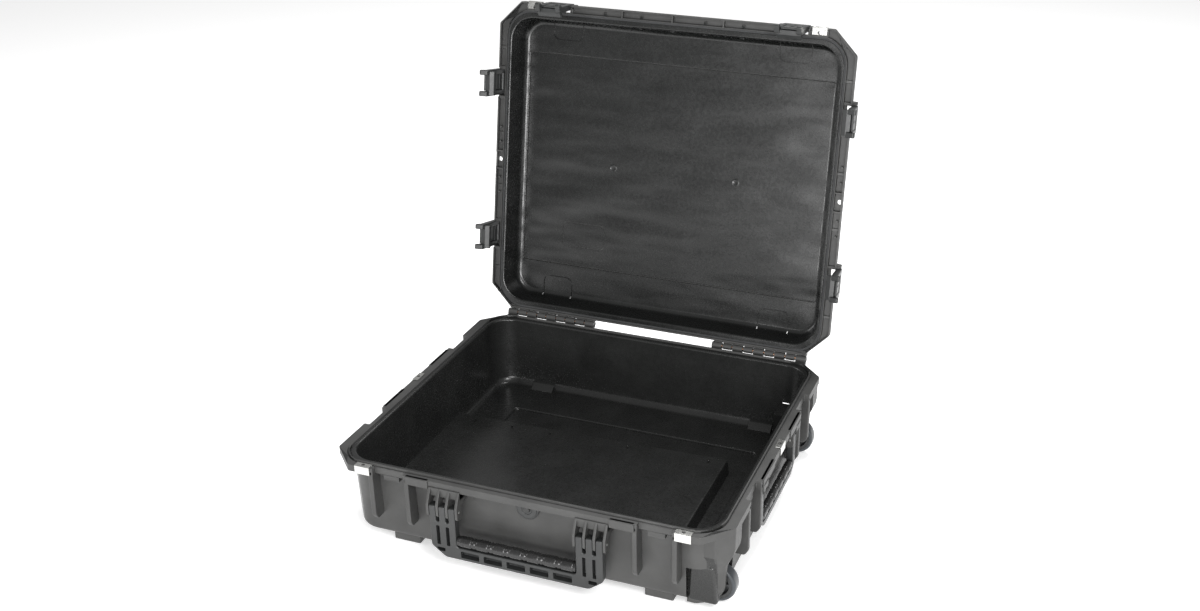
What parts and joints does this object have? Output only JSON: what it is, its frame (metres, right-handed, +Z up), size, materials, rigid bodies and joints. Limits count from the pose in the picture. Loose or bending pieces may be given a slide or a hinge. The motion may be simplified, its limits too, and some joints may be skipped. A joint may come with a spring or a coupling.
{
  "type": "wheeled equipment case",
  "caption": "Open moulded plastic equipment case with a hinged lid, gasketed rim, trigger latches, carry handles, corner wheels and a pull-out tow handle.",
  "frame": {"origin": "on the ground, under the middle of the open case's bounding box", "axes": "+Z up, -Y towards the front handle, +X towards the wheels, -X towards the tow handle; the lid stands open behind (+Y)"},
  "size_m": [0.704, 0.7544, 0.7431],
  "materials": {
    "shell": "fine moulded grain, black polypropylene",
    "latch": "satin moulded black",
    "grip": "smooth black rubber",
    "seal": "matt foam rubber",
    "wheel_rubber": "satin grey-blue",
    "steel": "bright stainless",
    "hinge_pin": "copper-coloured wire",
    "tube": "satin anodised"
  },
  "bodies": {
    "base": {"base_shell": "shell", "hinge_pin_left": "hinge_pin", "hinge_pin_right": "hinge_pin", "front_handle_pin_left": "steel", "front_handle_pin_right": "steel", "side_handle_pin_front": "steel", "side_handle_pin_rear": "steel", "padlock_plate_front_left": "steel", "padlock_plate_front_right": "steel", "padlock_plate_left": "steel", "padlock_plate_right": "steel", "pressure_valve_ring": "latch", "pressure_valve_core": "grip", "tow_outer_tube_front": "tube", "tow_outer_tube_rear": "tube", "tow_channel_cover": "shell", "cover_screw_1": "steel", "cover_screw_2": "steel", "cover_screw_3": "steel", "cover_screw_4": "steel", "front_wheel_axle": "steel", "rear_wheel_axle": "steel"},
    "lid": {"lid_shell": "shell", "lid_gasket": "seal", "lid_plate_left": "steel", "lid_plate_right": "steel", "latch_front_left_pin": "steel", "latch_front_right_pin": "steel", "latch_left_front_pin": "steel", "latch_left_rear_pin": "steel", "latch_right_front_pin": "steel", "latch_right_rear_pin": "steel"},
    "latch_front_left": {"latch_front_left": "latch"},
    "latch_front_left_trigger": {"latch_front_left_trigger": "latch"},
    "latch_front_right": {"latch_front_right": "latch"},
    "latch_front_right_trigger": {"latch_front_right_trigger": "latch"},
    "latch_left_front": {"latch_left_front": "latch"},
    "latch_left_front_trigger": {"latch_left_front_trigger": "latch"},
    "latch_left_rear": {"latch_left_rear": "latch"},
    "latch_left_rear_trigger": {"latch_left_rear_trigger": "latch"},
    "latch_right_front": {"latch_right_front": "latch"},
    "latch_right_front_trigger": {"latch_right_front_trigger": "latch"},
    "latch_right_rear": {"latch_right_rear": "latch"},
    "latch_right_rear_trigger": {"latch_right_rear_trigger": "latch"},
    "front_handle": {"front_handle_frame": "shell", "front_handle_grip": "grip"},
    "side_handle": {"side_handle_frame": "shell", "side_handle_grip": "grip"},
    "front_wheel": {"front_wheel_hub": "latch", "front_wheel_tyre": "wheel_rubber"},
    "rear_wheel": {"rear_wheel_hub": "latch", "rear_wheel_tyre": "wheel_rubber"},
    "tow_handle": {"tow_grip": "latch", "tow_inner_tube_front": "tube", "tow_inner_tube_rear": "tube"},
    "tow_button": {"tow_button": "grip"}
  },
  "joints": [
    {"name": "lid_hinge", "type": "hinge", "parent": "base", "child": "lid", "pos_m": [0, 0.2223, 0.1532], "axis": [1, 0, 0], "range_deg": [0, 100.47]},
    {"name": "latch_front_left_hinge", "type": "hinge", "parent": "lid", "child": "latch_front_left", "pos_m": [-0.222, 0.34718, 0.72554], "axis": [-1, 0, 0], "range_deg": [0, 105]},
    {"name": "latch_front_left_trigger_hinge", "type": "hinge", "parent": "latch_front_left", "child": "latch_front_left_trigger", "pos_m": [-0.222, 0.3286, 0.73083], "axis": [1, 0, 0], "range_deg": [0, 12], "stiffness_Nm_per_rad": 0.03, "springref_deg": -8.59},
    {"name": "latch_front_right_hinge", "type": "hinge", "parent": "lid", "child": "latch_front_right", "pos_m": [0.222, 0.34718, 0.72554], "axis": [-1, 0, 0], "range_deg": [0, 105]},
    {"name": "latch_front_right_trigger_hinge", "type": "hinge", "parent": "latch_front_right", "child": "latch_front_right_trigger", "pos_m": [0.222, 0.3286, 0.73083], "axis": [1, 0, 0], "range_deg": [0, 12], "stiffness_Nm_per_rad": 0.03, "springref_deg": -8.59},
    {"name": "latch_left_front_hinge", "type": "hinge", "parent": "lid", "child": "latch_left_front", "pos_m": [-0.336, 0.32047, 0.58098], "axis": [0, -0.1817, -0.9834], "range_deg": [-9, 96]},
    {"name": "latch_left_front_trigger_hinge", "type": "hinge", "parent": "latch_left_front", "child": "latch_left_front_trigger", "pos_m": [-0.34082, 0.30207, 0.58438], "axis": [0, 0.1817, 0.9834], "range_deg": [0, 12], "stiffness_Nm_per_rad": 0.03, "springref_deg": -8.59},
    {"name": "latch_left_rear_hinge", "type": "hinge", "parent": "lid", "child": "latch_left_rear", "pos_m": [-0.336, 0.26777, 0.29581], "axis": [0, -0.1817, -0.9834], "range_deg": [-9, 96]},
    {"name": "latch_left_rear_trigger_hinge", "type": "hinge", "parent": "latch_left_rear", "child": "latch_left_rear_trigger", "pos_m": [-0.34082, 0.24937, 0.29921], "axis": [0, 0.1817, 0.9834], "range_deg": [0, 12], "stiffness_Nm_per_rad": 0.03, "springref_deg": -8.59},
    {"name": "latch_right_front_hinge", "type": "hinge", "parent": "lid", "child": "latch_right_front", "pos_m": [0.336, 0.32047, 0.58098], "axis": [0, 0.1817, 0.9834], "range_deg": [-9, 96]},
    {"name": "latch_right_front_trigger_hinge", "type": "hinge", "parent": "latch_right_front", "child": "latch_right_front_trigger", "pos_m": [0.34082, 0.30207, 0.58438], "axis": [0, -0.1817, -0.9834], "range_deg": [0, 12], "stiffness_Nm_per_rad": 0.03, "springref_deg": -8.59},
    {"name": "latch_right_rear_hinge", "type": "hinge", "parent": "lid", "child": "latch_right_rear", "pos_m": [0.336, 0.26777, 0.29581], "axis": [0, 0.1817, 0.9834], "range_deg": [-9, 96]},
    {"name": "latch_right_rear_trigger_hinge", "type": "hinge", "parent": "latch_right_rear", "child": "latch_right_rear_trigger", "pos_m": [0.34082, 0.24937, 0.29921], "axis": [0, -0.1817, -0.9834], "range_deg": [0, 12], "stiffness_Nm_per_rad": 0.03, "springref_deg": -8.59},
    {"name": "front_handle_hinge", "type": "hinge", "parent": "base", "child": "front_handle", "pos_m": [0, -0.3682, 0.108], "axis": [-1, 0, 0], "range_deg": [0, 95]},
    {"name": "side_handle_hinge", "type": "hinge", "parent": "base", "child": "side_handle", "pos_m": [0.3255, -0.0712, 0.108], "axis": [0, -1, 0], "range_deg": [0, 95]},
    {"name": "front_wheel_spin", "type": "hinge", "parent": "base", "child": "front_wheel", "pos_m": [0.3015, -0.2992, 0.034], "axis": [0, 1, 0], "continuous": true},
    {"name": "rear_wheel_spin", "type": "hinge", "parent": "base", "child": "rear_wheel", "pos_m": [0.3015, 0.1568, 0.034], "axis": [0, 1, 0], "continuous": true},
    {"name": "tow_handle_slide", "type": "slide", "parent": "base", "child": "tow_handle", "axis": [-1, 0, 0], "range_m": [0, 0.33]},
    {"name": "tow_button_press", "type": "slide", "parent": "tow_handle", "child": "tow_button", "axis": [1, 0, 0], "range_m": [0, 0.002], "stiffness_N_per_m": 500, "springref_m": -0.001}
  ]
}
